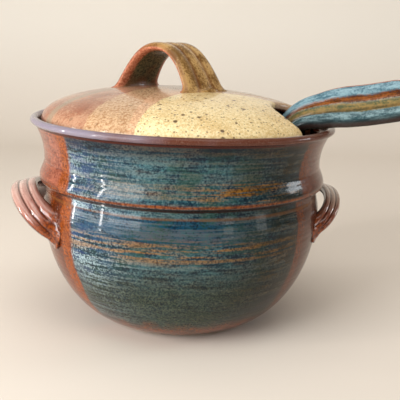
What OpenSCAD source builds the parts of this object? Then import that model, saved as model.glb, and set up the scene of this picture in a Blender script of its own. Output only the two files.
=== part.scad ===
// Hand-thrown stoneware soup kettle: a lidded pot with two lugs, and a ladle that stands in it.
// The table is z = 0, the pot turns about the Z axis, and the lugs lie close to the X axis.

/* [Pot] */
// Height of the pot, from the table to the top of the rim
pot_h = 184; // [170:1:210]
// Widest diameter of the rim
rim_d = 270; // [262:1:300]
// Depth of the rounded lip, from its top to the crease under it
lip_h = 6.2; // [4:0.1:9]
// How far the lip stands out past the crease under it
lip_out = 3.8; // [2:0.1:6]
// Thickness of the lip beside the lid
lip_t = 7.7; // [5:0.1:10]
// Depth of the lid's ledge under the top of the rim
ledge_drop = 7; // [5:0.1:9]
// Width of the ledge that carries the lid
ledge_w = 8.8; // [6:0.1:12]
// Thickness of the ledge at its inner edge
ledge_t = 5; // [4:0.5:8]
// How far the waist lies inside the rim, on each side
waist_in = 11.5; // [9:0.5:15]
// Height of the waist above the ridge
waist_up = 16; // [12:0.5:22]
// How far the raised ridge stands out past the waist
ridge_out = 4.5; // [2:0.5:6]
// Height of the ridge above the table
ridge_h = 131.5; // [124:0.5:136]
// Radius of the ridge's rounded under edge
ridge_round = 5; // [3:0.5:6]
// Depth of the groove under the ridge, measured from the ridge
groove_in = 6.25; // [4:0.25:8]
// How far the widest part of the bowl lies inside the ridge
belly_in = 3; // [0:0.5:5]
// How far the widest part of the bowl lies below the ridge
belly_drop = 26.5; // [20:0.5:40]
// How early the bowl swells: 1 is a plain ellipse, more is slimmer near the foot
belly_slim = 1.08; // [1:0.01:1.3]
// Diameter of the foot
foot_d = 113; // [100:1:130]
// Width of the foot ring that touches the table
foot_w = 9; // [6:0.5:14]
// Depth of the trimmed hollow inside the foot ring
foot_hollow = 3; // [2:0.5:4]
// Thickness of the wall
wall_t = 7; // [5:0.5:8]
// Height of the inside floor above the table
floor_h = 10; // [9:0.5:14]
// Diameter of the flat part of the inside floor
floor_d = 100; // [90:1:110]

/* [Lugs] */
// Width of the left lug's strap at its crest
left_lug_w = 24; // [18:0.5:28]
// Width of the right lug's strap at its crest
right_lug_w = 15; // [12:0.5:26]
// Thickness of both lugs
lug_t = 9; // [7:0.5:12]
// Distance round the bowl between the middles of a lug's two roots
lug_span = 105; // [90:1:120]
// Length of the left lug's climb from its roots to its crest
left_lug_climb = 34; // [28:1:44]
// Length of the right lug's climb from its roots to its crest
right_lug_climb = 29; // [26:1:44]
// Slope of the strap where it leaves the bowl
lug_rise_angle = 45; // [30:1:55]
// Slope of the strap at its crest
lug_crest_angle = 75; // [60:1:95]
// Depth of the lug's roots under the ridge
lug_drop = 40.5; // [36:0.5:46]
// Turn of both lugs about the pot's axis
lug_turn = 7; // [0:1:15]
// Width of a lug's strap at its roots, as a share of the width at its crest
lug_root_share = 0.65; // [0.55:0.05:1.1]

/* [Lid] */
// Height of the lid's crown above its seat
lid_h = 31.8; // [26:0.2:40]
// Height of the lid's upright edge
lid_edge_h = 3; // [2:0.2:5]
// Thickness of the lid
lid_t = 6; // [5:0.5:8]
// Gap between the lid's edge and the lip all round
lid_gap = 1.3; // [0.5:0.1:2.5]
// Height at which the lid is held off its ledge by the glaze
seat_gap = 0.4; // [0.3:0.1:1]
// Depth of the lid's locating ring
ring_h = 9; // [6:0.5:12]
// Thickness of the locating ring
ring_t = 5; // [4:0.5:7]
// Gap between the locating ring and the ledge
ring_gap = 2; // [1:0.1:4]
// Radius of the notch for the ladle
notch_r = 43; // [38:0.5:48]

/* [Lid handle] */
// How much wider the strap is where it is pressed on to the lid
root_flare = 1.2; // [1:0.05:1.5]
// Width of the lid handle's strap
lid_handle_w = 44; // [34:1:50]
// Thickness of the lid handle
lid_handle_t = 8.5; // [7:0.5:11]
// Distance between the middles of its two roots
lid_handle_span = 80; // [70:1:90]
// Height of its arch above the lid's crown
lid_handle_h = 39.5; // [32:0.5:50]
// Turn of the arch from the X axis
lid_handle_turn = -40; // [-60:1:0]
// How far it was set off the middle, to the left
lid_handle_left = 12; // [0:1:16]
// How far it was set off the middle, to the back
lid_handle_back = 10; // [0:1:14]

/* [Ladle] */
// Direction in which the ladle leaves the pot
ladle_turn = -17; // [-25:1:-10]
// Diameter of the ladle's cup
cup_d = 86; // [70:1:96]
// Height of the ladle's cup
cup_h = 42; // [34:1:50]
// Thickness of the cup's wall
cup_t = 5; // [4:0.5:7]
// Diameter of the cup's foot
cup_foot_d = 40; // [30:1:50]
// How far the cup stands behind the pot's axis
cup_back = 24; // [10:1:34]
// Gap of glaze between the cup and the pot's floor
cup_gap = 0.4; // [0.3:0.1:1]
// Width of the ladle's handle at the cup
ladle_root_w = 22; // [18:0.5:26]
// Width of the ladle's handle at its end
ladle_end_w = 40; // [32:0.5:44]
// Thickness of the ladle's handle
ladle_handle_t = 12; // [10:0.5:14]
// How far the handle's end stands out past the rim
ladle_reach = 62; // [45:1:80]
// Height of the handle's middle line above the rim where it crosses it
ladle_over = 16; // [15:0.2:19]
// Height of the handle's end above that crossing
ladle_tip_rise = 13.6; // [8:0.5:24]
// Twist of the handle at the cup
ladle_root_roll = 15; // [0:1:30]
// Twist of the handle from the notch to its end
ladle_roll = 52; // [45:1:55]

/* [Hidden] */
$fn = 96;

// Small amount by which one cutting shape passes another
over = 1;
// Points on the lobed face of a strap, per lobe, and on its plain face
lobe_steps = 4;
lobes = 3;
face_steps = 8;
// Share of a strap's thickness taken by its lobes, on the lugs and lid handle and on the ladle
lobe_share = 0.16;
ladle_lobe_share = 0.26;
// Rings along a lug or handle
arch_rings = 30;
ladle_steps = 5;
// Steps along the curves of the pot's and the cup's outlines
swell_steps = 12;
ease_steps = 5;
flare_steps = 7;
lip_steps = 6;
round_steps = 4;

rim_r = rim_d / 2;
crease_r = rim_r - lip_out;
lip_in_r = rim_r - lip_t;
ledge_in_r = lip_in_r - ledge_w;
ledge_z = pot_h - ledge_drop;
crease_z = pot_h - lip_h;
waist_r = rim_r - waist_in;
waist_h = ridge_h + waist_up;
ridge_r = waist_r + ridge_out;
groove_r = ridge_r - groove_in;
belly_r = ridge_r - belly_in;
belly_h = ridge_h - belly_drop;
foot_r = foot_d / 2;

seat_z = ledge_z + seat_gap;
lid_r = lip_in_r - lid_gap;
ring_r = ledge_in_r - ring_gap;
crown_z = seat_z + lid_h;
// Shape of the lid's curve: a fuller crown and a rounder shoulder than an ellipse
crown_power = 2.4;
shoulder_power = 1.85;
// The notch is cut a little nearer the front than the ladle's own line
notch_turn = ladle_turn - 2;

// Quarter of a swelling curve from [r0, z0] out to [r1, z1], where it stands upright
function swell(r0, z0, r1, z1, power, steps) = [
    for (i = [0:steps]) let (a = 90 * i / steps) [r0 + (r1 - r0) * pow(sin(a), power), z1 - (z1 - z0) * cos(a)]
];
// Soft S-shaped run between two upright ends
function ease(r0, z0, r1, z1, steps) = [
    for (i = [0:steps]) let (t = i / steps) [r0 + (r1 - r0) * (1 - cos(180 * t)) / 2, z0 + (z1 - z0) * t]
];
// Part of an ellipse about [r, z]
function arc(r, z, a, b, from, to, steps) = [
    for (i = [0:steps]) let (q = from + (to - from) * i / steps) [r + a * cos(q), z + b * sin(q)]
];

// Outside of the pot from the foot to the top of the lip
flare_power = 2.2;
pot_outside = concat(
    swell(foot_r, 0, belly_r, belly_h, belly_slim, swell_steps),
    ease(belly_r, belly_h, groove_r, ridge_h - ridge_round, ease_steps),
    arc(ridge_r - ridge_round, ridge_h, ridge_round, ridge_round, -60, 0, round_steps),
    ease(ridge_r, ridge_h, waist_r, waist_h, ease_steps),
    [for (i = [1:flare_steps]) let (t = i / flare_steps)
        [waist_r + (crease_r - waist_r) * pow(t, flare_power), waist_h + (crease_z - waist_h) * t]],
    arc(crease_r, pot_h - lip_h / 2, lip_out, lip_h / 2, -75, 90, lip_steps)
);
// Inside of the pot from the lip down to the middle of the floor
function turned_back(line) = [for (i = [len(line) - 1:-1:0]) line[i]];
bowl_hole = swell(floor_d / 2, floor_h, belly_r - wall_t, belly_h, belly_slim, swell_steps);
pot_inside = concat(
    arc(crease_r, ledge_z, crease_r - lip_in_r, ledge_drop, 105, 180, round_steps),
    [[ledge_in_r, ledge_z], [ledge_in_r, ledge_z - ledge_t]],
    [for (p = ease(waist_r - wall_t, waist_h, belly_r - wall_t, belly_h, ease_steps)) if (p[1] > belly_h) p],
    turned_back(bowl_hole),
    [[0, floor_h]]
);
foot_hollow_r = foot_r - foot_w;

module pot_solid() {
    rotate_extrude() polygon(concat([[0, 0]], pot_outside, [[0, pot_h]]));
}

module pot() {
    color("steelblue")
    rotate_extrude()
    polygon(concat([[0, foot_hollow], [foot_hollow_r - foot_hollow, foot_hollow], [foot_hollow_r, 0]],
        pot_outside, pot_inside));
}

// Outline of a pulled strap: rounded lobes with grooves between them outside, a plain face inside
function side_fall(s) = sqrt(max(0, 1 - pow(abs(s), 6)));
function strap(w, t, share) = let (lobe = t * share, n = lobes * lobe_steps) concat(
    [for (i = [0:n]) let (s = 2 * i / n - 1)
        [w / 2 * s, (t / 2 - lobe) * side_fall(s) + lobe * abs(sin(180 * lobes * i / n))]],
    [for (j = [1:face_steps - 1]) let (s = cos(180 * j / face_steps))
        [w / 2 * s, -t / 2 * sqrt(1 - pow(s, 4))]]
);
function unit(v) = v / norm(v);
// One ring of a strap: middle c, direction of travel d, and the side that its width follows
function ring(c, d, side, w, t, share = lobe_share) = let (
    across = unit(side - (side * d) * d),
    out = cross(across, d)
) [for (p = strap(w, t, share)) c + across * p[0] + out * p[1]];
function travel(path, i) = unit(path[min(i + 1, len(path) - 1)] - path[max(i - 1, 0)]);

// Solid skin over a row of equal rings
module skin(rings) {
    n = len(rings[0]);
    m = len(rings);
    polyhedron(
        points = [for (r = rings) for (p = r) p],
        faces = concat(
            [[for (k = [0:n - 1]) k]],
            [for (i = [0:m - 2]) for (k = [0:n - 1]) let (a = i * n + k, b = i * n + (k + 1) % n)
                for (f = [[a, a + n, b], [b, a + n, b + n]]) f],
            [[for (k = [n - 1:-1:0]) (m - 1) * n + k]]
        )
    );
}

// A lug hugs the bowl: it climbs on a bend from both roots, outward first and then up, and closes in an arch
lug_sink = 24;
lug_half_angle = lug_span / 2 / belly_r * 180 / PI;
lug_z = ridge_h - lug_drop;
// Slope of a lug at a share of its climb, and how far out and up it has come by then
function lug_slope(share) = lug_rise_angle + (lug_crest_angle - lug_rise_angle) * share;
function lug_radius(climb) = climb / ((lug_crest_angle - lug_rise_angle) * PI / 180);
function lug_out(share, climb) = lug_radius(climb) * (sin(lug_slope(share)) - sin(lug_rise_angle));
function lug_up(share, climb) = lug_radius(climb) * (cos(lug_rise_angle) - cos(lug_slope(share)));
function lug_at(q, climb) = let (r = belly_r + lug_out(sin(q), climb), turn = lug_half_angle * cos(q))
    [r * cos(turn), r * sin(turn), lug_z + lug_up(sin(q), climb)];
function lug_side(q) = let (e = lug_slope(sin(q)), turn = lug_half_angle * cos(q))
    [-sin(e) * cos(turn), -sin(e) * sin(turn), cos(e)];
function lug_rings(w, climb) = let (
    angles = [for (i = [0:arch_rings]) -lug_sink + (180 + 2 * lug_sink) * i / arch_rings],
    path = [for (q = angles) lug_at(q, climb)]
) [for (i = [0:arch_rings]) let (root = pow(1 - abs(sin(angles[i])), 2))
    ring(path[i], travel(path, i), lug_side(angles[i]), w * (1 + (lug_root_share - 1) * root), lug_t)];

module lug(w, climb, turn) {
    color("sienna")
    difference() {
        rotate([0, 0, turn]) skin(lug_rings(w, climb));
        pot_solid();
    }
}

module left_lug() {
    lug(left_lug_w, left_lug_climb, 180 + lug_turn);
}

module right_lug() {
    lug(right_lug_w, right_lug_climb, lug_turn);
}

// Outside of the lid from its edge to the crown, as a share of its radius and rise
lid_steps = 18;
function lid_curve(r, rise, z) = [
    for (i = [0:lid_steps]) let (s = pow(cos(90 * i / lid_steps), 2 / crown_power))
        [r * s, z + rise * pow(1 - pow(s, crown_power), 1 / shoulder_power)]
];
lid_outside = lid_curve(lid_r, lid_h - lid_edge_h, seat_z + lid_edge_h);
lid_inside = lid_curve(ring_r - ring_t, lid_h - lid_t, seat_z);

module lid_solid() {
    rotate_extrude() polygon(concat([[0, seat_z], [lid_r, seat_z]], lid_outside));
}

module lid() {
    color("wheat")
    difference() {
        rotate_extrude()
        polygon(concat(
            [[ring_r - ring_t, seat_z - ring_h], [ring_r, seat_z - ring_h], [ring_r, seat_z], [lid_r, seat_z]],
            lid_outside, turned_back(lid_inside)));
        rotate([0, 0, notch_turn]) translate([lid_r, 0, seat_z - ring_h - over])
        cylinder(r = notch_r, h = lid_h + ring_h + 2 * over);
    }
}

// The lid's handle is a plain arch: upright legs that lean in and meet over the crown
arch_power = 2.3;
arch_end_share = 1.18;
function lid_arch(s) = [lid_handle_span / 2 * s, 0, crown_z + (lid_handle_h - lid_handle_t / 2) * (1 - pow(abs(s), arch_power))];
lid_handle_rings = let (
    shares = [for (i = [0:arch_rings]) -arch_end_share * cos(180 * i / arch_rings)],
    path = [for (s = shares) lid_arch(s)]
) [for (i = [0:arch_rings]) ring(path[i], travel(path, i), [0, -1, 0],
    lid_handle_w * (1 + (root_flare - 1) * pow(min(1, abs(shares[i])), 4)), lid_handle_t)];

module lid_handle() {
    color("tan")
    difference() {
        translate([-lid_handle_left, lid_handle_back, 0]) rotate([0, 0, lid_handle_turn]) skin(lid_handle_rings);
        lid_solid();
    }
}

// The ladle's cup is a small thrown bowl, and its handle is pulled up from the cup's wall
cup_r = cup_d / 2;
cup_z = floor_h + cup_gap;
cup_rise = swell(cup_foot_d / 2, 0, cup_r, cup_h - cup_t / 2, 1, swell_steps);
cup_hole = swell(cup_foot_d / 2 - cup_t, cup_t, cup_r - cup_t, cup_h - cup_t / 2, 1, swell_steps);

module in_ladle() {
    rotate([0, 0, ladle_turn]) children();
}

module cup_solid() {
    translate([-cup_back, 0, cup_z]) rotate_extrude() polygon(concat([[0, 0]], cup_rise, [[cup_r, cup_h], [0, cup_h]]));
}

module ladle_bowl() {
    color("cadetblue")
    in_ladle() translate([-cup_back, 0, cup_z])
    rotate_extrude()
    polygon(concat([[0, 0]], cup_rise,
        arc(cup_r - cup_t / 2, cup_h - cup_t / 2, cup_t / 2, cup_t / 2, 30, 150, round_steps),
        turned_back(cup_hole), [[0, cup_t]]));
}

// Middle line of the ladle's handle: up from the cup, over the rim, and out
rest_z = pot_h + ladle_over;
cup_side = cup_r - cup_back;
// Shares of the cup's height at which the handle starts inside its wall and leaves it
join_share = 0.55;
leave_share = 0.85;
// First bend above the cup, and how far the long climb stands in from half way
neck_out = 13;
neck_up = 22;
climb_in = 15;
// Last bend before the rim, and where the line crosses it
shoulder_in = 38;
shoulder_down = 15.5;
crossing_in = 7;
// Shares of the outer part's length and rise at its middle bend
tail_share = 0.45;
tail_rise_share = 0.6;
ladle_knots = [
    [cup_side - cup_t * 2, 0, cup_z + cup_h * join_share],
    [cup_side - cup_t / 2, 0, cup_z + cup_h * leave_share],
    [cup_side + neck_out, 0, cup_z + cup_h + neck_up],
    [(cup_side + rim_r) / 2 - climb_in, 0, (cup_z + cup_h + rest_z) / 2],
    [rim_r - shoulder_in, 0, rest_z - shoulder_down],
    [rim_r - crossing_in, 0, rest_z],
    [rim_r + ladle_reach * tail_share, 0, rest_z + ladle_tip_rise * tail_rise_share],
    [rim_r + ladle_reach, 0, rest_z + ladle_tip_rise]
];
function knot(i) = i < 0 ? 2 * ladle_knots[0] - ladle_knots[1]
    : i >= len(ladle_knots) ? 2 * ladle_knots[len(ladle_knots) - 1] - ladle_knots[len(ladle_knots) - 2]
    : ladle_knots[i];
function through(i, t) = let (a = knot(i - 1), b = knot(i), c = knot(i + 1), d = knot(i + 2))
    b + (c - a) * t / 2 + (2 * a - 5 * b + 4 * c - d) * t * t / 2 + (3 * b - a - 3 * c + d) * t * t * t / 2;
ladle_path = concat(
    [for (i = [0:len(ladle_knots) - 2]) for (k = [0:ladle_steps - 1]) through(i, k / ladle_steps)],
    [ladle_knots[len(ladle_knots) - 1]]
);
// The end is rounded off over its last few rings
tip_shares = [0.97, 0.86, 0.62];
function grown(i, from, to) = from + (to - from) * i / (len(ladle_path) - 1);
// Share of the handle's length at which it has its full width
full_width_share = 0.78;
// The handle twists between two places, each measured from the rim
roll_from = rim_r - 75;
roll_to = rim_r + 15;
function roll_share(r) = max(0, min(1, (r - roll_from) / (roll_to - roll_from)));
function rolled(r) = let (t = roll_share(r))
    ladle_root_roll + (ladle_roll - ladle_root_roll) * t * t * (3 - 2 * t);
function tip(i) = let (k = i - (len(ladle_path) - len(tip_shares))) k < 0 ? 1 : tip_shares[k];
ladle_rings = [for (i = [0:len(ladle_path) - 1])
    let (
        d = travel(ladle_path, i),
        roll = rolled(ladle_path[i][0]),
        side = [-d[2] * sin(roll), cos(roll), d[0] * sin(roll)],
        w = min(ladle_end_w, grown(i / full_width_share, ladle_root_w, ladle_end_w))
    ) ring(ladle_path[i], d, -side, w * tip(i), ladle_handle_t * tip(i), ladle_lobe_share)];

module ladle_handle() {
    color("cadetblue")
    in_ladle() difference() {
        skin(ladle_rings);
        cup_solid();
    }
}

pot();
left_lug();
right_lug();
lid();
lid_handle();
ladle_bowl();
ladle_handle();
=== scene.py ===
import math

import bpy
import numpy as np
from mathutils import Matrix, Vector


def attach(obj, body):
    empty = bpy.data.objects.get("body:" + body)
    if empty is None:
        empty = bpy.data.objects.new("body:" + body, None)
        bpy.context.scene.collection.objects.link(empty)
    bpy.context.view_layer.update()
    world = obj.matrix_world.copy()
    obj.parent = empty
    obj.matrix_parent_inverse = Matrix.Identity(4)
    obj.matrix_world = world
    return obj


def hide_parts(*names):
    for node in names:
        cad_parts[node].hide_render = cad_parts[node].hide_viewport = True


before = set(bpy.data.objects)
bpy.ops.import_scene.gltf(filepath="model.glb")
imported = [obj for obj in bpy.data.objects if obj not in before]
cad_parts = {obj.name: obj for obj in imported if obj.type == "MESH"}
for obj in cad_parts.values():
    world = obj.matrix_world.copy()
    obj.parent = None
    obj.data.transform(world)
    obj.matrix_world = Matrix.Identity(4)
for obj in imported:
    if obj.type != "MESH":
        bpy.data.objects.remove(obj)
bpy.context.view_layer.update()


# ---------------------------------------------------------------- Camera
# It stands close in front of the pot, a little above the rim, looks down on
# the lid and is held slightly off level.
eye_place = (0, -0.6387, 0.25955)
yaw, pitch, roll = math.radians(1.54), math.radians(13.48), math.radians(1.85)
ahead = Vector((math.sin(yaw) * math.cos(pitch), math.cos(yaw) * math.cos(pitch), -math.sin(pitch)))
level = Vector((math.cos(yaw), -math.sin(yaw), 0))
upward = level.cross(ahead)
to_right = level * math.cos(roll) + upward * math.sin(roll)
to_top = upward * math.cos(roll) - level * math.sin(roll)
eye = bpy.data.objects.new("eye", bpy.data.cameras.new("eye"))
eye.matrix_world = (Matrix.Translation(eye_place)
                    @ Matrix((to_right, to_top, -ahead)).transposed().to_4x4())
eye.data.lens = 63.56
eye.data.sensor_width = 36
bpy.context.collection.objects.link(eye)
bpy.context.scene.camera = eye


# ---------------------------------------------------------------- Pot
# One thrown stoneware pot: a round bowl, a raised ridge with a groove under it,
# a flaring collar, a rolled lip and a ledge inside for the lid. It was dipped in
# an iron-rust glaze, and then front and back in a blue one.
def swell(r0, z0, r1, z1, power, steps):
    """Outline of a belly that swells from one radius and height to another."""
    a = np.linspace(0, np.pi / 2, steps + 1)
    return np.column_stack((r0 + (r1 - r0) * np.sin(a) ** power, z1 - (z1 - z0) * np.cos(a)))


def ease(r0, z0, r1, z1, steps):
    """Outline that eases from one radius into another as it rises."""
    t = np.linspace(0, 1, steps + 1)
    return np.column_stack((r0 + (r1 - r0) * (1 - np.cos(np.pi * t)) / 2, z0 + (z1 - z0) * t))


def bend(r, z, a, b, start, stop, steps):
    """Outline of a rounded edge: part of an ellipse about r and z, a wide and b high."""
    q = np.radians(np.linspace(start, stop, steps + 1))
    return np.column_stack((r + a * np.cos(q), z + b * np.sin(q)))


belly_r, belly_z, bore_r = 125, 105, 118
groove_r, groove_z = 121.75, 126.5
ridge_r, ridge_z = 128, 131.5
neck_r, neck_z = 123.5, 147.5
lip_r, lip_z = 131.2, 180.9
flare = np.linspace(0, 1, 31)[1:]
pot_outside = np.vstack((
    swell(56.5, 0, belly_r, belly_z, 1.08, 110)[6:],
    ease(belly_r, belly_z, groove_r, groove_z, 24)[1:-1],
    bend(122.4, 127.1, 0.9, 0.9, 215, 300, 3),
    bend(ridge_r - 5, ridge_z, 5, 5, -55, 0, 9),
    ease(ridge_r, ridge_z, neck_r, neck_z, 20)[1:],
    np.column_stack((neck_r + 7.7 * flare ** 2.2, neck_z + 30.3 * flare)),
    bend(lip_r, lip_z, 3.8, 3.1, -70, 90, 18)))
pot_inside = np.vstack((
    bend(lip_r, 177, 3.9, 7, 100, 180, 12),
    bend(120, 175.5, 1.5, 1.5, 90, 180, 4),
    bend(120, 173.5, 1.5, 1.5, 180, 270, 3),
    ease(116.5, 171.5, bore_r, belly_z, 40),
    swell(50, 10, bore_r, belly_z, 1.08, 80)[::-1][1:],
    [[30, 10], [12, 10], [1, 10]]))
foot_inside = np.array([[1, 3], [20, 3], [43, 3], [46, 2], [47.5, 0.6], [48.6, 0], [54.5, 0], [56.2, 0.6]])
pot_outline = np.vstack((foot_inside, pot_outside, pot_inside))
lip_points = 6  # the first points of an inside still lie on top of its lip


def wall_radius(z):
    """Outside radius of the thrown pot at a height, for what is pressed on to it."""
    return np.interp(z, pot_outside[:, 1], pot_outside[:, 0])


def clay(name, shells, marks=None):
    """Closed skins over rows of equal rings, in mm; marks are named values kept at each point."""
    points, faces, start = [], [], 0
    for rings in shells:
        m, n, _ = rings.shape
        points.append(rings.reshape(-1, 3))
        low = start + np.arange(m - 1)[:, None] * n + np.arange(n)[None, :]
        turn = start + np.arange(m - 1)[:, None] * n + (np.arange(n)[None, :] + 1) % n
        faces += np.stack((low, turn, turn + n, low + n), axis=-1).reshape(-1, 4).tolist()
        faces += [list(range(start + n - 1, start - 1, -1)), list(range(start + (m - 1) * n, start + m * n))]
        start += m * n
    mesh = bpy.data.meshes.new(name)
    mesh.from_pydata((np.vstack(points) * 0.001).tolist(), [], faces)
    for title, values in (marks or {}).items():
        layer = mesh.attributes.new(title, "FLOAT", "POINT")
        layer.data.foreach_set("value", np.concatenate([v.ravel() for v in values]).astype(np.float32))
    mesh.update()
    mesh.shade_smooth()
    mesh.set_sharp_from_angle(angle=math.radians(50))
    made = bpy.data.objects.new(name, mesh)
    bpy.context.collection.objects.link(made)
    return made


def thrown(outline, turns):
    """A revolved outline as rings, with the angles, and each ring's radius and height."""
    q = np.linspace(0, 2 * np.pi, turns, endpoint=False)[None, :]
    r, z = outline[:, 0][:, None], outline[:, 1][:, None]
    return np.stack((r * np.cos(q), r * np.sin(q), z + 0 * q), axis=-1), q, r, z


# Throwing rings climb the wall in a spiral, and it is a little out of round.
pot_grid, q, r, z = thrown(pot_outline, 360)
inner = (np.arange(len(pot_outline)) >= len(foot_inside) + len(pot_outside) + lip_points).astype(float)
spiral = z + 3.2 * q / (2 * np.pi)
belly_rings = np.exp(-((z - 96) / 16) ** 2)
collar_rings = np.exp(-((z - 150) / 14) ** 2)
finger = (0.5 * np.sin(spiral * 1.31) + 0.35 * np.sin(spiral * 0.83 + 1.7) + 0.3 * np.sin(spiral * 2.1 + 0.6)
          + 0.25 * np.sin(3 * q + z * 0.05))
depth = (0.05 + 0.22 * belly_rings + 0.10 * collar_rings) * np.clip((z - 8) / 20, 0, 1) * (z < 176)
rise = np.clip(z / 60, 0, 1)
push = depth * finger + rise * (0.35 * np.cos(2 * q + 0.9) + 0.15 * np.cos(3 * q + 2.0))
pot_grid[..., 0] += push * np.cos(q) * (r > 5)
pot_grid[..., 1] += push * np.sin(q) * (r > 5)
pot_grid[..., 2] += 0.25 * np.sin(2 * q + 0.4) * (z > 176)
rim_r, rim_sag = 135.0, 2.4


def smooth(share):
    """A share that starts and stops gently, kept from 0 to 1."""
    share = np.clip(share, 0, 1)
    return share * share * (3 - 2 * share)


def sag(points):
    """The rim dried a little low on the right, and what rests on it follows."""
    share = np.clip(points[..., 0] / rim_r, 0, 1) ** 1.5 * smooth((points[..., 2] - 138) / 40)
    moved = points.copy()
    moved[..., 2] -= rim_sag * share
    return moved


pot = clay("thrown_pot", [sag(pot_grid)], {"inside": [inner[:, None] + 0 * q]})


class Brush:
    """One output of a shader node. Sums on it add Math nodes, and node() adds any other kind."""
    def __init__(self, tree, socket=None):
        self.tree, self.socket = tree, socket

    def node(self, kind, settings=None, inputs=None, output=0):
        made = self.tree.nodes.new(kind)
        for key, value in (settings or {}).items():
            setattr(made, key, value)
        for key, value in (inputs or {}).items():
            if isinstance(value, Brush):
                self.tree.links.new(value.socket, made.inputs[key])
            else:
                made.inputs[key].default_value = value
        return Brush(self.tree, made.outputs[output]) if len(made.outputs) else None

    def reckon(self, operation, *values):
        return self.node("ShaderNodeMath", {"operation": operation}, dict(enumerate(values)))

    def __add__(self, other):
        return self.reckon("ADD", self, other)

    def __sub__(self, other):
        return self.reckon("SUBTRACT", self, other)

    def __rsub__(self, other):
        return self.reckon("SUBTRACT", other, self)

    def __mul__(self, other):
        return self.reckon("MULTIPLY", self, other)

    def __truediv__(self, other):
        return self.reckon("DIVIDE", self, other)

    def __pow__(self, other):
        return self.reckon("POWER", self, other)

    def __abs__(self):
        return self.reckon("ABSOLUTE", self)

    __radd__, __rmul__ = __add__, __mul__


def dye(red, green, blue):
    """A colour as it looks, 0 to 255, in the light values that the shader takes."""
    light = [c / 3294.6 if c < 11 else ((c / 255 + 0.055) / 1.055) ** 2.4 for c in (red, green, blue)]
    return (*light, 1.0)


def blend(under, above, share):
    """One glaze over another; share is how much of the upper one shows."""
    return share.node("ShaderNodeMix", {"data_type": "RGBA"}, {0: share, 6: under, 7: above}, 2)


def between(value, low, high):
    """0 up to low, 1 from high on, and a soft step between them."""
    return value.node("ShaderNodeMapRange", {"interpolation_type": "SMOOTHSTEP"},
                      {"Value": value, "From Min": low, "From Max": high})


def band(value, low, high, soft):
    """1 from low to high, with soft borders."""
    return between(value, low - soft, low + soft) * (1 - between(value, high - soft, high + soft))


def above_zero(value):
    """The value itself, or 0 where it is below 0."""
    return value.reckon("MAXIMUM", value, 0.0)


def cloud(at, scale, detail=3.0, rough=0.5, stretch=(1, 1, 1)):
    """Soft random values; scale is in bumps per mm, and stretch is for each axis."""
    spread = at.node("ShaderNodeVectorMath", {"operation": "MULTIPLY"}, {0: at, 1: stretch})
    return at.node("ShaderNodeTexNoise", {},
                   {"Vector": spread, "Scale": scale, "Detail": detail, "Roughness": rough})


def speck(at, scale, share):
    """Iron spots of uneven size, 1 in a spot; share is how much of the cell the largest fills."""
    size = at.node("ShaderNodeTexVoronoi", {}, {"Vector": at, "Scale": scale}, "Color")
    size = at.node("ShaderNodeSeparateXYZ", {}, {0: size})
    gap = at.node("ShaderNodeTexVoronoi", {}, {"Vector": at, "Scale": scale}, "Distance")
    return 1 - between(gap / (size ** 3.0 * share + 0.03), 0.7, 1.3)


def glaze(name):
    """A new material, and the place on the piece in mm."""
    material = bpy.data.materials.new(name)
    material.use_nodes = True
    material.node_tree.nodes.clear()
    start = Brush(material.node_tree)
    metres = start.node("ShaderNodeTexCoord", {}, {}, "Object")
    at = start.node("ShaderNodeVectorMath", {"operation": "SCALE"}, {0: metres, "Scale": 1000.0})
    return material, at


def axes(at):
    """The three lengths of a place: to the right, back and up."""
    return [at.node("ShaderNodeSeparateXYZ", {}, {0: at}, axis) for axis in "XYZ"]


def mark(at, name):
    """A value that clay() kept at each point."""
    return at.node("ShaderNodeAttribute", {"attribute_name": name}, {}, "Fac")


def fire(material, at, colour, roughness, relief, coat=0.4, coat_ior=1.35):
    """Close a glaze: its colour, its roughness and its small relief, under a clear glassy skin."""
    bump = at.node("ShaderNodeBump", {}, {"Strength": 1.0, "Distance": 0.0004, "Height": relief}, "Normal")
    skin = at.node("ShaderNodeBsdfPrincipled", {}, {
        "Base Color": colour, "Roughness": roughness, "Normal": bump, "Specular IOR Level": 0.12,
        "Coat Weight": coat, "Coat Roughness": 0.05, "Coat IOR": coat_ior}, "BSDF")
    at.node("ShaderNodeOutputMaterial", {}, {"Surface": skin})
    return material


def dress(piece, material, body, slot, *nodes):
    """Give a piece its glaze, its body and the solids that it stands for; slot is not used."""
    piece.data.materials.append(material)
    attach(piece, body)
    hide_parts(*nodes)


skin, at = glaze("blue_over_rust")
x, y, z = axes(at)
radius = (x * x + y * y) ** 0.5
fine = cloud(at, 0.55, 5.0, 0.75)
spots = cloud(at, 1.4, 3.0, 0.7)
lines = cloud(at, 0.42, 4.0, 0.65, (0.045, 0.045, 1))
patches = cloud(at, 0.13, 4.0, 0.65, (0.5, 0.5, 1.5))
broad = cloud(at, 0.035, 2.0, 0.5)
runs = cloud(at, 0.09, 3.0, 0.6, (1, 1, 0.12))
# It was dipped in blue from the front and from the back, a little askew.
dip_x, dip_y = 0.035, 0.999
facing = abs(x * dip_x - y * dip_y) / radius
dipped = facing + (runs - 0.5) * 0.08 + (fine - 0.5) * 0.04
side = x / radius
right_hand = between(side, 0.12, 0.74)
sunk = rim_sag * above_zero(x / rim_r) ** 1.5
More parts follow.
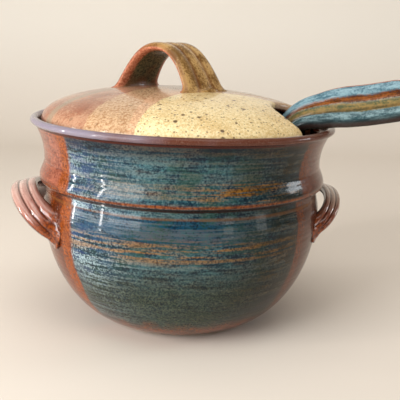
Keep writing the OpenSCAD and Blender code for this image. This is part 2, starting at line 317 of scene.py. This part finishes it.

# The blue glaze is streaked with teal, ochre on the throwing rings, speckled low on the bowl and
# amber at the foot. It is paler on the left as a painted highlight and brown-black on the right as painted
# shade.
mottle = fine * 0.4 + lines * 0.3 + patches * 0.3
left_hand = between(0.0 - side, 0.15, 0.75)
teal = blend(dye(10, 30, 44), dye(72, 118, 126), between(mottle, 0.42, 0.59))
teal = blend(teal, dye(30, 62, 46), between(patches * 0.5 + broad * 0.5, 0.47, 0.58) * 0.6)
teal = blend(teal, dye(22, 44, 96), left_hand * between(patches, 0.42, 0.58) * 0.75)
# Pale blue-white streaks on the left are a painted highlight.
teal = blend(teal, dye(174, 206, 218),
             left_hand * between(fine * 0.5 + lines * 0.5, 0.48, 0.58) * (0.85 - 0.5 * between(z, 128, 134)))
# Near-black high on the collar is a painted dark reflection.
teal = blend(teal, dye(12, 20, 30), between(z + (lines - 0.5) * 12, 160, 175) * 0.8)
deep = band(z, 99, 119, 4)
teal = blend(teal, dye(8, 58, 84), deep * between(fine, 0.40, 0.58) * (1 - right_hand) * 0.85)
ring_zone = band(z, 84, 101, 5) * 0.9
collar_zone = band(z, 132, 147, 4) * (0.25 + 0.7 * between(x, -10, 50))
ochre = blend(dye(84, 52, 18), dye(144, 98, 40), between(fine, 0.42, 0.58))
teal = blend(teal, ochre,
             between(lines * 0.8 + fine * 0.2, 0.46, 0.57) * (ring_zone * 0.7 + collar_zone * 0.9 + 0.18))
low = 1 - between(z + (broad - 0.5) * 30, 50, 92)
speckled = blend(dye(14, 26, 30), dye(80, 82, 56), between(spots * 0.55 + fine * 0.45, 0.44, 0.60))
teal = blend(teal, speckled, low * 0.8)
# The blue glaze is darkened to brown-black on the right as painted shade.
painted_shade = blend(dye(6, 7, 3), dye(64, 44, 6), between(fine * 0.5 + lines * 0.5, 0.46, 0.62))
teal = blend(teal, painted_shade, right_hand * (0.6 + 0.35 * between(patches, 0.4, 0.6)))
amber = blend(dye(84, 30, 0), dye(158, 78, 16), between(fine, 0.38, 0.62))
teal = blend(teal, amber, (1 - between(z + (runs - 0.5) * 26, 8, 26)) * 0.8)

# The rust glaze shows at both sides, pinker on the collar, with an amber border.
bowl_rust = blend(dye(58, 18, 0), dye(112, 48, 6), between(fine * 0.5 + broad * 0.5, 0.40, 0.60))
collar_rust = blend(dye(94, 38, 22), dye(160, 96, 74), between(fine * 0.7 + patches * 0.3, 0.38, 0.62))
rust = blend(bowl_rust, collar_rust, between(z, 131, 136))
rust = blend(rust, amber, band(dipped, 0.585, 0.67, 0.02) * 0.9)
rust = blend(rust, dye(60, 20, 6), between(spots, 0.56, 0.66) * 0.6)
# The rust is darkened towards the right as painted shade.
rust = blend(rust, dye(40, 12, 0), between(side, 0.2, 0.8) * 0.55)
colour = blend(rust, teal, between(dipped, 0.655, 0.685))

# The glaze breaks to rust on the ridge, is near-black in the groove under it and greys on the lip.
wander = z + (lines - 0.5) * 3.0
ledge_rust = blend(dye(80, 28, 4), dye(146, 74, 16), between(fine, 0.42, 0.6))
colour = blend(colour, ledge_rust, band(wander, 129.0, 131.2, 1.0) * 0.9)
colour = blend(colour, dye(34, 10, 3), band(wander, 124.9, 128.6, 0.6) * 0.95)
colour = blend(colour, dye(118, 74, 34), band(wander, 118.4, 120.4, 0.8) * 0.5)
# Towards the left the lip is lilac grey, partly its glaze and partly a painted highlight.
lip = blend(dye(92, 50, 36), dye(128, 120, 134), between(broad * 0.4 + 0.3 - x * 0.0035, 0.45, 0.80))
lip = blend(lip, dye(160, 132, 116), between(spots, 0.55, 0.65) * 0.4)
colour = blend(colour, lip, between(z + sunk, 178.2, 178.9))
colour = blend(colour, dye(66, 18, 6), band(z + sunk + (fine - 0.5), 176.0, 178.6, 0.5) * 0.95)
# The inside is a guessed rust-brown glaze, made dark as painted shade.
within = blend(dye(52, 22, 12), dye(104, 56, 30), between(lines * 0.5 + fine * 0.5, 0.42, 0.6))
colour = blend(colour, within, mark(at, "inside"))
colour = blend(colour, dye(156, 118, 84), 1 - between(z, 1.6, 2.6))
gloss = 0.12 + 0.16 * between(spots, 0.35, 0.7)
relief = lines * 0.8 + fine * 0.35 + spots * 0.12
dress(pot, fire(skin, at, colour, gloss, relief), "pot", "pot_glaze", "pot")


# ---------------------------------------------------------------- Lugs
# Two pulled straps of clay with three rounded lobes on the outside. Each was
# bent into a rising loop, and its roots were pressed and smoothed on to the bowl.
def strap(w, t, lobe_share):
    """Outline of a pulled strap, with its share across, its lobe and its face at each point."""
    lobes, lobe_steps, back_steps = 3, 48, 26
    front = np.linspace(-1, 1, lobe_steps + 1)
    fold = (np.sin(lobes * np.pi * np.arange(lobe_steps + 1) / lobe_steps) ** 2 + 0.003) ** 0.3
    fall = np.sqrt(np.clip(1 - np.abs(front) ** 6, 0, 1))
    lobe = t * lobe_share
    lobed = np.column_stack((w / 2 * front, (t / 2 - lobe) * fall + lobe * fold))
    back = np.cos(np.pi * np.arange(1, back_steps) / back_steps)
    plain = np.column_stack((w / 2 * back, -t / 2 * np.sqrt(1 - back ** 4)))
    return (np.vstack((lobed, plain)), np.concatenate((front, back)), np.concatenate((fold, 0 * back)),
            np.concatenate((1 + 0 * front, 0 * back)))


def heading(path):
    """The direction of a path at each of its points."""
    step = np.gradient(path, axis=0)
    return step / np.linalg.norm(step, axis=1)[:, None]


def pulled(path, sides, widths, thicks, lobe_shares):
    """Rings of a strap along a path, with the marks that its glaze follows."""
    rings, marks = [], {"across": [], "lobe": [], "face": [], "along": []}
    shares, ahead = np.linspace(0, 1, len(path)), heading(path)
    for i, middle in enumerate(path):
        across = sides[i] - sides[i].dot(ahead[i]) * ahead[i]
        across /= np.linalg.norm(across)
        outline, *kept = strap(widths[i], thicks[i], lobe_shares[i])
        rings.append(middle + outline[:, :1] * across + outline[:, 1:] * np.cross(across, ahead[i]))
        for values, value in zip(marks.values(), (*kept, shares[i] + 0 * kept[0])):
            values.append(value)
    return np.array(rings), {name: [np.array(values)] for name, values in marks.items()}


def smear(rings, path, clear_of, reach):
    """Widen the ends of a strap into a round fillet where they were pressed on."""
    reach = (reach * np.ones(len(path)))[:, None] + 0.01
    share = np.clip(1 - clear_of(rings) / reach, 0, 1)
    away = rings - path[:, None, :]
    away /= np.linalg.norm(away, axis=2)[..., None] + 1e-9
    return rings + away * (reach * (1 - np.sqrt(1 - np.clip(share, 0, 0.995) ** 2)))[..., None]


def above_bowl(points):
    """How far points stand out from the wall of the pot."""
    return np.hypot(points[..., 0], points[..., 1]) - wall_radius(points[..., 2])


lug_rise, lug_crest = math.radians(45), math.radians(75)
lug_root_z, lug_half_span, lug_thick = 91, 52.5, 9
press_reach, press_depth = 8, 2.5
for name, node, width, climb, turn in (("left_lug_strap", "left_lug", 24, 34, 187),
                                       ("right_lug_strap", "right_lug", 15, 29, 7)):
    # The angle a goes round the loop from root to root, and e is how steeply it stands.
    a = np.radians(np.linspace(-27, 207, 157))
    e = lug_rise + (lug_crest - lug_rise) * np.sin(a)
    out = (np.sin(e) - math.sin(lug_rise)) * climb / (lug_crest - lug_rise)
    up = (math.cos(lug_rise) - np.cos(e)) * climb / (lug_crest - lug_rise)
    bearing = math.radians(turn) + lug_half_span / belly_r * np.cos(a)
    path = np.column_stack(((belly_r + out) * np.cos(bearing), (belly_r + out) * np.sin(bearing),
                            lug_root_z + up))
    sides = np.column_stack((-np.sin(e) * np.cos(bearing), -np.sin(e) * np.sin(bearing), np.cos(e)))
    root = (1 - np.clip(np.sin(a), 0, 1)) ** 2
    lobe_shares = 0.16 * np.clip((out - 1) / 6, 0.15, 1)
    rings, marks = pulled(path, sides, width * (1 - 0.35 * root), lug_thick + 0 * root, lobe_shares)
    rings = smear(rings, path, above_bowl, press_reach * np.clip((np.sin(a) + 0.42) / 0.36, 0, 1))
    stands = np.hypot(rings[..., 0], rings[..., 1])
    least = wall_radius(rings[..., 2]) - press_depth
    rings[..., :2] *= (np.maximum(stands, least) / stands)[..., None]
    lug = clay(name, [rings], marks)

    skin, at = glaze(node + "_rust")
    fine = cloud(at, 0.5, 4.0, 0.7)
    pull = cloud(at, 0.25, 3.0, 0.5, (1, 0.2, 0.6))
    lobe, face, along = mark(at, "lobe"), mark(at, "face"), mark(at, "along")
    crest = band(along, 0.31, 0.69, 0.10)
    middle = band(along, 0.22, 0.78, 0.07)
    if node == "left_lug":
        top, flank = dye(206, 172, 160), dye(138, 74, 58)
    else:
        top, flank = dye(190, 166, 146), dye(120, 62, 46)
    streaks = at.node("ShaderNodeCombineXYZ", {}, {"X": along * 2.0, "Y": mark(at, "across") * 1.4})
    streaks = cloud(streaks, 3.0, 4.0, 0.6)
    wash = blend(flank, top, crest * 0.6 + (streaks - 0.44) * 2.0)
    wash = blend(wash, dye(84, 34, 22), between(fine, 0.56, 0.66) * 0.5)
    root_rust = blend(dye(84, 30, 4), dye(146, 68, 16), between(fine, 0.40, 0.60))
    colour = blend(root_rust, wash, middle)
    colour = blend(dye(70, 26, 12), colour, between(lobe, 0.30, 0.70) * 0.8 + 0.2)
    # The plain back of the strap, inside the loop, is near-black as painted shade.
    colour = blend(blend(dye(40, 12, 6), dye(84, 34, 16), fine), colour, face)
    wet = fire(skin, at, colour, 0.12 + 0.12 * fine, fine * 0.5 + pull * 0.4, coat=1.0, coat_ior=1.5)
    dress(lug, wet, "pot", "lug_glaze", node)


# ---------------------------------------------------------------- Lid
# A shallow thrown dome that drops on to the ledge, with a locating ring below and
# a round notch cut for the ladle. Cream, peach and salmon glazes were poured on it.
lid_r, seat, lid_edge, crown = 126.0, 177.4, 180.4, 209.2
ring_r = 111.5
notch_r, notch_turn, corner = 43.0, math.radians(-19), 6.0


def dome(r):
    """Height of the top of the lid at a radius."""
    s = np.clip(r / lid_r, 0, 1)
    return lid_edge + 28.8 * np.clip(1 - s ** 2.4, 0, 1) ** (1 / 1.85)


def hollow(r):
    """Height of the underside of the lid inside its ring."""
    s = np.clip(r / ring_r, 0, 1)
    return seat + 25.8 * np.clip(1 - s ** 2.4, 0, 1) ** (1 / 1.85)


def about_axis(angle):
    """Turns points about the upright axis."""
    c, s = math.cos(angle), math.sin(angle)
    return np.array(((c, s, 0), (-s, c, 0), (0, 0, 1)))


def lean(points):
    """The lid came off the wheel a little out of true: its crown leans to the left."""
    share = smooth((points[..., 2] - 180) / 14)
    moved = points.copy()
    moved[..., 0] -= 1.6 * share
    moved[..., 2] -= 0.012 * points[..., 0] * share
    return moved


# Half of the border, from the middle of the notch round its corner and along the rim,
# and then its mirror image.
corner_angle = math.acos(((lid_r - corner) ** 2 + lid_r ** 2 - (notch_r + corner) ** 2)
                         / (2 * lid_r * (lid_r - corner)))
corner_mid = np.array((math.cos(corner_angle), math.sin(corner_angle))) * (lid_r - corner)
from_notch = corner_mid - (lid_r, 0)
notch_end = math.atan2(from_notch[1], from_notch[0])
half = [np.array((lid_r, 0)) + notch_r * np.array((math.cos(b), math.sin(b)))
        for b in np.linspace(math.pi, notch_end, 44)]
half += [corner_mid + corner * np.array((math.cos(b), math.sin(b)))
         for b in np.linspace(notch_end - math.pi, corner_angle, 16)[1:]]
half += [lid_r * np.array((math.cos(b), math.sin(b)))
         for b in np.linspace(corner_angle, math.pi, 150)[1:]]
half = np.array(half)
border = np.vstack((half, (half[1:-1] * (1, -1))[::-1]))
border_r = np.hypot(border[:, 0], border[:, 1])
# Rows of points close in on the border, which is rounded by how near they are to it.
reach = lid_r - notch_r
from_edge = np.concatenate(([reach - 1], np.geomspace(1, reach, 44)[-2::-1] - 0.9, [0.05, 0]))
radii = border_r[None, :] * (1 - from_edge / reach)[:, None]
bearing = np.arctan2(border[:, 1], border[:, 0])[None, :]
plan = np.stack((radii * np.cos(bearing), radii * np.sin(bearing)), axis=-1)
to_notch = np.hypot(plan[..., 0] - lid_r, plan[..., 1]) - notch_r
to_rim = lid_r - radii
to_corner = corner - np.hypot(plan[..., 0] - corner_mid[0], np.abs(plan[..., 1]) - corner_mid[1])
in_corner = (np.abs(bearing) < corner_angle) & (to_rim < corner) & (to_notch < corner)
edge_gap = np.clip(np.where(in_corner, to_corner, np.minimum(to_notch, to_rim)), 0, None)
underside = np.where(radii < ring_r, hollow(radii), seat)
rounding = np.where(to_notch < 8, 3.0, np.minimum((dome(radii) - underside) / 2, 1.5))
fall = rounding * (1 - np.sqrt(1 - np.clip(1 - edge_gap / rounding, 0, 1) ** 2))
top, bottom = dome(radii) - fall, underside + fall
top[-1] = bottom[-1] = (top[-1] + bottom[-1]) / 2
wheel = 0.10 * np.sin(radii * 0.9 + 0.3 * bearing) * np.exp(-((radii - 70) / 45) ** 2)
upper = np.concatenate((plan, (top + wheel)[..., None]), axis=-1)
lower = np.concatenate((plan, bottom[..., None]), axis=-1)[::-1][1:]
slab = np.vstack((upper, lower))

ring_outline = np.array([(ring_r, 179), (ring_r, 169.6), (112.7, 168.4),
                         (115.3, 168.4), (116.5, 169.6), (116.5, 179)])
ring_turns = np.radians(np.linspace(20.6, 339.4, 260))
locating = np.stack((ring_outline[None, :, 0] * np.cos(ring_turns)[:, None],
                     ring_outline[None, :, 0] * np.sin(ring_turns)[:, None],
                     ring_outline[None, :, 1] + 0 * ring_turns[:, None]), axis=-1)
to_seat = np.array((0, 0, 10))
shells = [sag(lean(slab @ about_axis(notch_turn))),
          sag(locating @ about_axis(notch_turn) + to_seat) - to_seat]
under = [np.vstack((0 * upper[..., 2], 1 + 0 * lower[..., 2])), 1 + 0 * locating[..., 2]]
lid = clay("lid_dome", shells, {"inside": under})

skin, at = glaze("poured_cream")
x, y, z = axes(at)
fine = cloud(at, 0.5, 5.0, 0.7)
spots = cloud(at, 1.3, 3.0, 0.7)
broad = cloud(at, 0.03, 2.0, 0.5)
waver = (cloud(at, 0.06, 3.0, 0.6) - 0.5) * 8
# Salmon was poured from the left, then peach and tan, and cream into a pool in front.
past_salmon = x - 0.479 * y + 29.5 + waver
past_peach = x - 0.23 * y + 15.3 + waver
pool_edge = -20.0 - 99.0 * above_zero((70.0 - x) / 106.0) ** 3.6
in_pool = pool_edge - y + waver
salmon = blend(dye(146, 90, 64), dye(180, 138, 110), between(fine * 0.5 + broad * 0.5, 0.42, 0.60))
streak = 0.784 * (x + 108.0) - 0.621 * (y + 56.0) + waver
salmon = blend(salmon, dye(140, 126, 104), band(streak, -5, 6, 3) * 0.7)
peach = blend(dye(168, 126, 90), dye(204, 172, 136), between(fine, 0.40, 0.60))
tan = blend(dye(186, 140, 104), dye(220, 182, 146), between(fine, 0.40, 0.60))
grey_tan = blend(dye(160, 134, 108), dye(196, 166, 134), between(fine * 0.5 + broad * 0.5, 0.4, 0.6))
tan = blend(tan, grey_tan, between(y, -60, 0))
cream = blend(dye(212, 182, 126), dye(240, 220, 172), between(fine * 0.7 + broad * 0.3, 0.40, 0.58))
colour = blend(salmon, peach, between(past_salmon, -1.5, 1.5))
colour = blend(colour, tan, between(past_peach, -1.0, 1.0))
colour = blend(colour, cream, between(in_pool, -1.0, 1.0))
iron = 1 - (1 - speck(at, 0.17, 0.30)) * (1 - speck(at, 0.45, 0.42) * 0.8)
iron = 1 - (1 - iron) * (1 - between(cloud(at, 0.9, 2.0, 0.6), 0.60, 0.68) * 0.6)
colour = blend(colour, dye(74, 48, 28), iron * (0.4 + 0.5 * between(in_pool, -1.0, 1.0)))
# The near-white line at the lid's lower edge is a painted highlight.
colour = blend(colour, dye(242, 236, 220), 1 - between(z, 180.2, 181.6))
# The underside and the locating ring are dark brown as painted shade.
below = blend(dye(58, 30, 18), dye(98, 60, 38), between(fine, 0.4, 0.6))
colour = blend(colour, below, mark(at, "inside"))
dress(lid, fire(skin, at, colour, 0.16 + 0.14 * spots, fine * 0.3 + spots * 0.12),
      "lid", "lid_glaze", "lid")


# ---------------------------------------------------------------- Lid handle
# A wide pulled strap, arched over the crown of the lid and pressed on at both
# ends, set a little to the left and turned across the lid.
arch_half_span, arch_rise, arch_w, arch_thick = 40, 35.25, 44, 8.5
arch_turn, arch_place = math.radians(-40), (-12, 10, 0)
s = -1.12 * np.cos(np.linspace(0, np.pi, 141))
path = np.column_stack((arch_half_span * s, 0 * s, crown + arch_rise * (1 - np.abs(s) ** 2.3)))
sides = np.tile((0.0, -1.0, 0.0), (len(s), 1))
widths = arch_w * (1 + 0.2 * np.minimum(1, np.abs(s)) ** 4)
rings, marks = pulled(path, sides, widths, arch_thick + 0 * s, 0.18 + 0 * s)


def above_lid(points):
    """How far points stand above the dome."""
    return points[..., 2] - dome(np.hypot(points[..., 0], points[..., 1]))


rings = rings @ about_axis(arch_turn) + arch_place
rings = smear(rings, path @ about_axis(arch_turn) + arch_place, above_lid, 6)
rings[..., 2] = np.maximum(rings[..., 2], dome(np.hypot(rings[..., 0], rings[..., 1])) - press_depth)
lid_handle = clay("lid_arch", [sag(lean(rings))], marks)

skin, at = glaze("arch_tan")
fine = cloud(at, 0.5, 4.0, 0.7)
spots = cloud(at, 1.2, 3.0, 0.7)
broad = cloud(at, 0.07, 2.0, 0.5)
lobe, face, along, across = mark(at, "lobe"), mark(at, "face"), mark(at, "along"), mark(at, "across")
pink = blend(dye(150, 78, 52), dye(196, 130, 98), between(fine, 0.38, 0.62))
olive = blend(dye(122, 88, 44), dye(192, 154, 98), between(fine * 0.5 + broad * 0.5, 0.42, 0.58))
colour = blend(pink, olive, between(along + (broad - 0.5) * 0.2, 0.36, 0.5))
colour = blend(colour, dye(104, 52, 24), (1 - between(lobe, 0.35, 0.8)) * 0.5)
colour = blend(colour, dye(92, 60, 36), speck(at, 0.25, 0.2) * 0.8)
inner_face = blend(dye(56, 62, 48), dye(112, 106, 74), between(fine, 0.4, 0.6))
inner_face = blend(inner_face, dye(132, 72, 44), (1 - between(along + (broad - 0.5) * 0.3, 0.08, 0.3)) * 0.8)
inner_face = blend(inner_face, pink, between(abs(across) + (fine - 0.5) * 0.2, 0.66, 0.80))
colour = blend(inner_face, colour, face)
dress(lid_handle, fire(skin, at, colour, 0.14 + 0.14 * spots, fine * 0.35 + spots * 0.15),
      "lid", "lid_handle_glaze", "lid_handle")


# ---------------------------------------------------------------- Ladle cup
# A small thrown bowl with a rounded edge and a trimmed foot, blue outside and tan
# inside. It stands on the pot's floor, left of the middle, across from the notch.
cup_r, cup_h, cup_t = 43, 39.5, 5
cup_back, cup_foot_z, ladle_turn = 24, 10.4, math.radians(-17)
cup_outside = np.vstack(([[1, 0.8], [14, 0.8], [16, 0], [19, 0]], swell(20, 0, cup_r, cup_h, 1, 50)[1:]))
cup_outline = np.vstack((
    cup_outside,
    bend(cup_r - cup_t / 2, cup_h, cup_t / 2, cup_t / 2, 0, 180, 12),
    swell(15, cup_t, cup_r - cup_t, cup_h, 1, 50)[::-1][1:],
    [[8, cup_t], [1, cup_t]]))
cup_mid = np.array((-cup_back * math.cos(ladle_turn), -cup_back * math.sin(ladle_turn), cup_foot_z))
cup_grid, q, r, z = thrown(cup_outline, 160)
push = 0.12 * np.sin(z * 1.2 + 2.4 * q / (2 * np.pi)) * (r > 22)
cup_grid[..., 0] += push * np.cos(q)
cup_grid[..., 1] += push * np.sin(q)
inner = (np.arange(len(cup_outline)) >= len(cup_outside) + lip_points).astype(float)
cup = clay("ladle_cup", [cup_grid + cup_mid], {"inside": [inner[:, None] + 0 * q]})

skin, at = glaze("cup_blue")
x, y, z = axes(at)
fine = cloud(at, 0.55, 5.0, 0.7)
lines = cloud(at, 0.5, 3.0, 0.6, (0.06, 0.06, 1))
spots = cloud(at, 1.3, 3.0, 0.7)
colour = blend(dye(48, 84, 102), dye(122, 150, 156), between(fine * 0.5 + lines * 0.5, 0.4, 0.62))
colour = blend(colour, dye(150, 104, 56), between(lines, 0.55, 0.62) * 0.7)
within = blend(dye(150, 92, 56), dye(196, 150, 108), between(fine, 0.4, 0.6))
colour = blend(colour, within, mark(at, "inside"))
colour = blend(colour, dye(120, 56, 28), between(z, 49.6, 51.4))
colour = blend(colour, dye(156, 118, 84), 1 - between(z, 11.2, 12.2))
dress(cup, fire(skin, at, colour, 0.12 + 0.12 * spots, lines * 0.5 + fine * 0.3),
      "ladle", "ladle_glaze", "ladle_bowl")


# ---------------------------------------------------------------- Ladle handle
# A long strap pulled from the cup's wall, which rises over the rim through the
# notch and twists so that its lobed face shows from the front.
knots = np.array([(9, 33.5), (16.5, 46.1), (32, 74.4), (62, 126.2), (97, 184), (128, 199.6), (162.9, 206.2),
                  (197, 213.4)])
knots = np.vstack((2 * knots[0] - knots[1], knots, 2 * knots[-1] - knots[-2]))
# A smooth line through the knots, as distance from the axis and height.
line = []
for a, b, c, d in zip(knots, knots[1:], knots[2:], knots[3:]):
    for t in np.linspace(0, 1, 25)[:-1]:
        line.append(b + (c - a) * t / 2 + (2 * a - 5 * b + 4 * c - d) * t * t / 2
                    + (3 * b - a - 3 * c + d) * t ** 3 / 2)
line = np.array(line + [knots[-2]])
share = np.linspace(0, 1, len(line))
path = np.column_stack((line[:, 0], 0 * share, line[:, 1]))
pull_way = heading(path)
twist = np.radians(15 + 37 * smooth((line[:, 0] - 60) / 90))
sides = np.column_stack((pull_way[:, 2] * np.sin(twist), -np.cos(twist), -pull_way[:, 0] * np.sin(twist)))
run = np.concatenate(([0], np.cumsum(np.linalg.norm(np.diff(path, axis=0), axis=1))))
tip_round = 14
rounded = 0.25 + 0.75 * np.sqrt(1 - np.clip(1 - (run[-1] - run) / tip_round, 0, 0.97) ** 2)
cup_end_w, tip_w, pull_thick = 22, 40, 12
widths = np.minimum(tip_w, cup_end_w + (tip_w - cup_end_w) * share / 0.78) * rounded
rings, marks = pulled(path, sides, widths, pull_thick * rounded, 0.22 + 0 * share)
in_cup_wall = 8
rings = rings[in_cup_wall:] @ about_axis(ladle_turn)
marks = {name: [values[0][in_cup_wall:]] for name, values in marks.items()}
ladle_handle = clay("ladle_pull", [sag(rings)], marks)

skin, at = glaze("ladle_blue")
fine = cloud(at, 0.5, 5.0, 0.7)
broad = cloud(at, 0.06, 2.0, 0.5)
spots = cloud(at, 1.2, 3.0, 0.7)
lobe, face, across = mark(at, "lobe"), mark(at, "face"), mark(at, "across")
patches = cloud(at, 0.11, 4.0, 0.65)
where = across + (fine - 0.5) * 0.24 + (broad - 0.5) * 0.16
streaks = at.node("ShaderNodeCombineXYZ", {}, {"X": mark(at, "along") * 5.0, "Y": across * 2.2})
streaks = cloud(streaks, 3.0, 5.0, 0.65)
# Bands of glaze run along it: pale blue on the far lobe, then orange, olive and blue,
# and the near edge is near-black as painted shade. The back is dull teal and brown.
mottle = fine * 0.35 + streaks * 0.5 + patches * 0.15
pale_blue = blend(dye(58, 92, 106), dye(130, 160, 170), between(mottle, 0.40, 0.58))
orange = blend(dye(70, 34, 10), dye(140, 78, 28), between(mottle, 0.40, 0.60))
olive = blend(dye(76, 82, 56), dye(140, 116, 70), between(mottle, 0.42, 0.58))
blue_low = blend(dye(44, 70, 76), dye(124, 150, 154), between(mottle, 0.42, 0.60))
wider = between(mark(at, "along"), 0.6, 0.95)
colour = blend(pale_blue, orange, band(where, -0.38, 0.02 * wider, 0.06))
colour = blend(colour, olive, band(where, 0.02 * wider, 0.38 + 0.1 * wider, 0.08))
colour = blend(colour, blue_low, between(where - wider * 0.1, 0.32, 0.46))
# Near-black along the near edge is painted shade.
colour = blend(colour, dye(26, 30, 30), between(where, 0.72, 0.92) * 0.9)
colour = blend(colour, dye(84, 40, 18), (1 - between(lobe, 0.3, 0.7)) * 0.3)
colour = blend(colour, dye(158, 92, 64), 1 - between(across + (fine - 0.5) * 0.1, -0.88, -0.80))
under = blend(dye(30, 42, 46), dye(92, 84, 62), between(mottle, 0.40, 0.62))
under = blend(under, dye(150, 84, 58), 1 - between(across, -0.98, -0.9))
colour = blend(under, colour, face)
dress(ladle_handle, fire(skin, at, colour, 0.12 + 0.14 * spots, fine * 0.4 + spots * 0.12),
      "ladle", "ladle_glaze", "ladle_handle")


# ---------------------------------------------------------------- Room
# A pale warm floor that sweeps up into a plain wall. Soft light comes from above,
# from a wide window and two narrow ones on the left, from one on the right, and
# from two small low panes in front.
wall_y, sweep_r = 1.3, 0.4
sweep = [(-2.5, 0.0), (wall_y - sweep_r, 0.0)]
sweep += [(wall_y - sweep_r + sweep_r * math.sin(b), sweep_r - sweep_r * math.cos(b))
          for b in np.linspace(0.1, math.pi / 2, 12)]
sweep += [(wall_y, 2.6)]
verts = [(end * 3.0, depth, height) for depth, height in sweep for end in (-1, 1)]
faces = [(2 * i, 2 * i + 1, 2 * i + 3, 2 * i + 2) for i in range(len(sweep) - 1)]
mesh = bpy.data.meshes.new("paper_sweep")
mesh.from_pydata(verts, [], faces)
mesh.shade_smooth()
floor = bpy.data.objects.new("paper_sweep", mesh)
bpy.context.collection.objects.link(floor)
skin, at = glaze("paper")
x, y, z = axes(at)
tone = blend(dye(222, 212, 200), dye(230, 224, 214), between(z, 0, 300))
paper = at.node("ShaderNodeBsdfPrincipled", {}, {"Base Color": tone, "Roughness": 0.8}, "BSDF")
at.node("ShaderNodeOutputMaterial", {}, {"Surface": paper})
floor.data.materials.append(skin)


def window(name, bearing, height, distance, wide, tall, power, tint):
    """A soft upright lamp that looks at the pot; its place is a bearing, a height and a distance."""
    lamp = bpy.data.lights.new(name, "AREA")
    lamp.shape, lamp.size, lamp.size_y = "RECTANGLE", wide, tall
    lamp.energy, lamp.color = power, tint
    held = bpy.data.objects.new(name, lamp)
    b = math.radians(bearing)
    spot = Vector((math.cos(b) * distance, math.sin(b) * distance, height))
    aim = (Vector((0, 0, 0.12)) - spot).to_track_quat("-Z", "Y").to_matrix().to_4x4()
    held.matrix_world = Matrix.Translation(spot) @ aim
    bpy.context.collection.objects.link(held)


window("tall_window", -152, 0.36, 1.1, 0.045, 0.8, 6.5, (1.0, 0.98, 0.95))
window("far_window", 180, 0.22, 1.2, 0.04, 0.5, 4, (1.0, 0.98, 0.95))
window("wide_window", -134, 0.62, 1.5, 0.75, 0.8, 20, (0.95, 0.98, 1.0))
window("left_pane", -55, 0.2, 1.5, 0.2, 0.3, 0.8, (1.0, 0.97, 0.93))
window("right_pane", -27, 0.2, 1.5, 0.25, 0.25, 0.8, (1.0, 0.97, 0.93))
window("side_window", 8, 0.55, 1.5, 0.45, 0.3, 5, (0.92, 0.96, 1.0))
window("ceiling", -90, 1.8, 0.5, 1.6, 1.6, 17, (1.0, 0.97, 0.93))
world = bpy.data.worlds.new("room")
world.use_nodes = True
world.node_tree.nodes["Background"].inputs["Color"].default_value = dye(226, 216, 204)
world.node_tree.nodes["Background"].inputs["Strength"].default_value = 0.32
bpy.context.scene.world = world
bpy.context.scene.view_settings.view_transform = "Standard"
